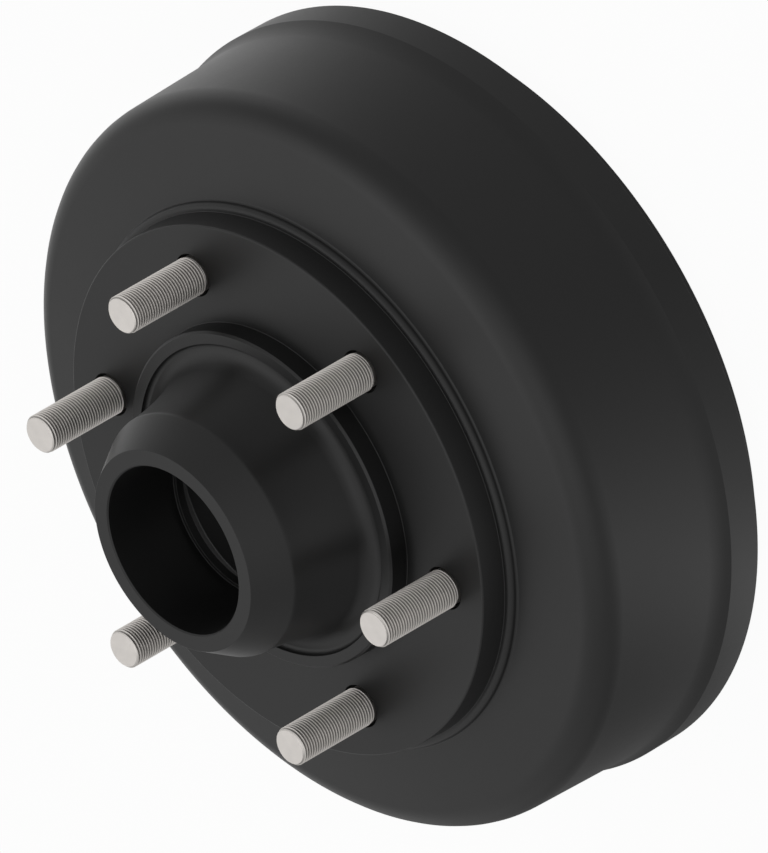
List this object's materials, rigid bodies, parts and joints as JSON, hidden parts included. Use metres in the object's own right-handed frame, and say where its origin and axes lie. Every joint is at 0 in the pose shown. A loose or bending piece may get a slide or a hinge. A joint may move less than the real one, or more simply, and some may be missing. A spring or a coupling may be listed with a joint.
{
  "type": "hub and brake drum",
  "caption": "Hub and brake drum cast in one piece, with a stepped bearing bore, a register ring that centres the wheel, and threaded wheel studs pressed into its flange.",
  "frame": {"origin": "centre of the end plane of the rim's lip, on the drum's axis; the part stands on this plane", "axes": "+Z along the axis of rotation, from the drum's open end towards the hub's nose; +X through wheel_stud_1"},
  "size_m": [0.359, 0.359, 0.1883],
  "materials": {
    "black_casting": "satin black coating on cast iron",
    "stud_steel": "bright turned and thread-rolled steel"
  },
  "bodies": {
    "root": {"hub_drum": "black_casting", "wheel_stud_1": "stud_steel", "wheel_stud_2": "stud_steel", "wheel_stud_3": "stud_steel", "wheel_stud_4": "stud_steel", "wheel_stud_5": "stud_steel", "wheel_stud_6": "stud_steel"}
  },
  "joints": []
}
